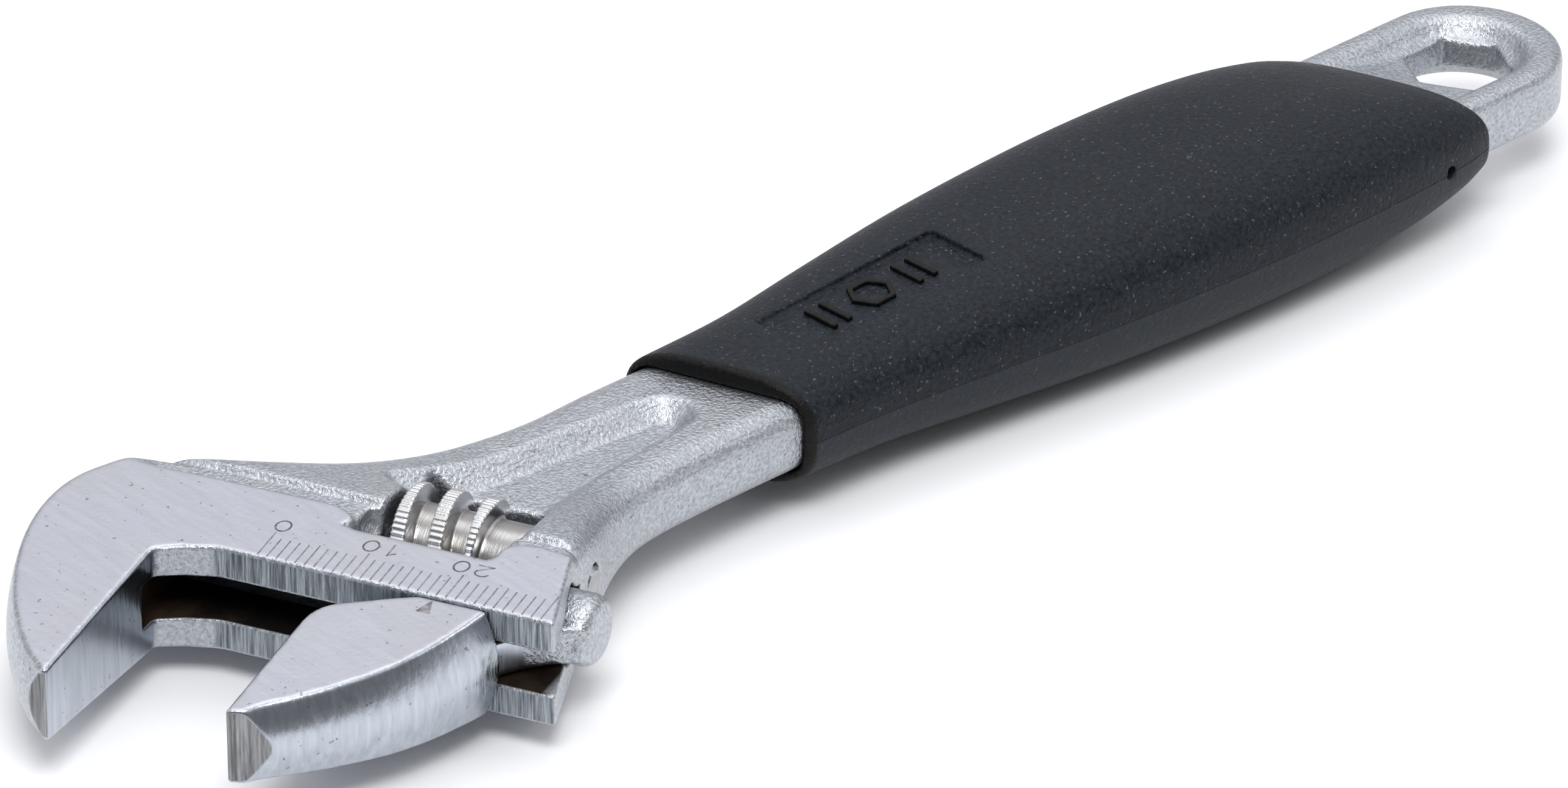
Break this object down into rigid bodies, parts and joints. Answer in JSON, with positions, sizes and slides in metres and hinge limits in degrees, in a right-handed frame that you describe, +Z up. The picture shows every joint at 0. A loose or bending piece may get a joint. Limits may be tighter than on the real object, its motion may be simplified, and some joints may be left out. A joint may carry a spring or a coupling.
{
  "type": "adjustable wrench",
  "caption": "Adjustable wrench with a forged body, a sliding jaw on a toothed round rail, a knurled worm that drives it, and a rubber grip with a hanging hole behind it.",
  "frame": {"origin": "centre of the underside of the whole wrench's box, lying flat", "axes": "+X along the handle from the head to the hanging end, +Y to the fixed-jaw side, +Z up through the thickness"},
  "size_m": [0.2042, 0.0532, 0.0176],
  "materials": {
    "forged_chrome": "satin blasted forging with finely ground faces",
    "polished_steel": "polished thread with knurled lands",
    "pin_steel": "plain turned",
    "spring_steel": "drawn wire",
    "black_rubber": "matt, fine grained"
  },
  "bodies": {
    "body": {"body": "forged_chrome", "grip": "black_rubber", "worm_pin": "pin_steel", "worm_spring": "spring_steel"},
    "jaw": {"movable_jaw": "forged_chrome"},
    "worm": {"worm": "polished_steel"}
  },
  "joints": [
    {"name": "jaw_slide", "type": "slide", "parent": "body", "child": "jaw", "axis": [0.3843, -0.9232, 0], "range_m": [-0.0185, 0.008]},
    {"name": "worm_spin", "type": "hinge", "parent": "body", "child": "worm", "pos_m": [-0.0535, -0.00383, 0.0088], "axis": [0.3843, -0.9232, 0], "range_deg": [-722, 1667]}
  ],
  "couplings": [
    {"joint": "worm_spin", "follows": "jaw_slide", "rad_per_m": -1570.8}
  ]
}
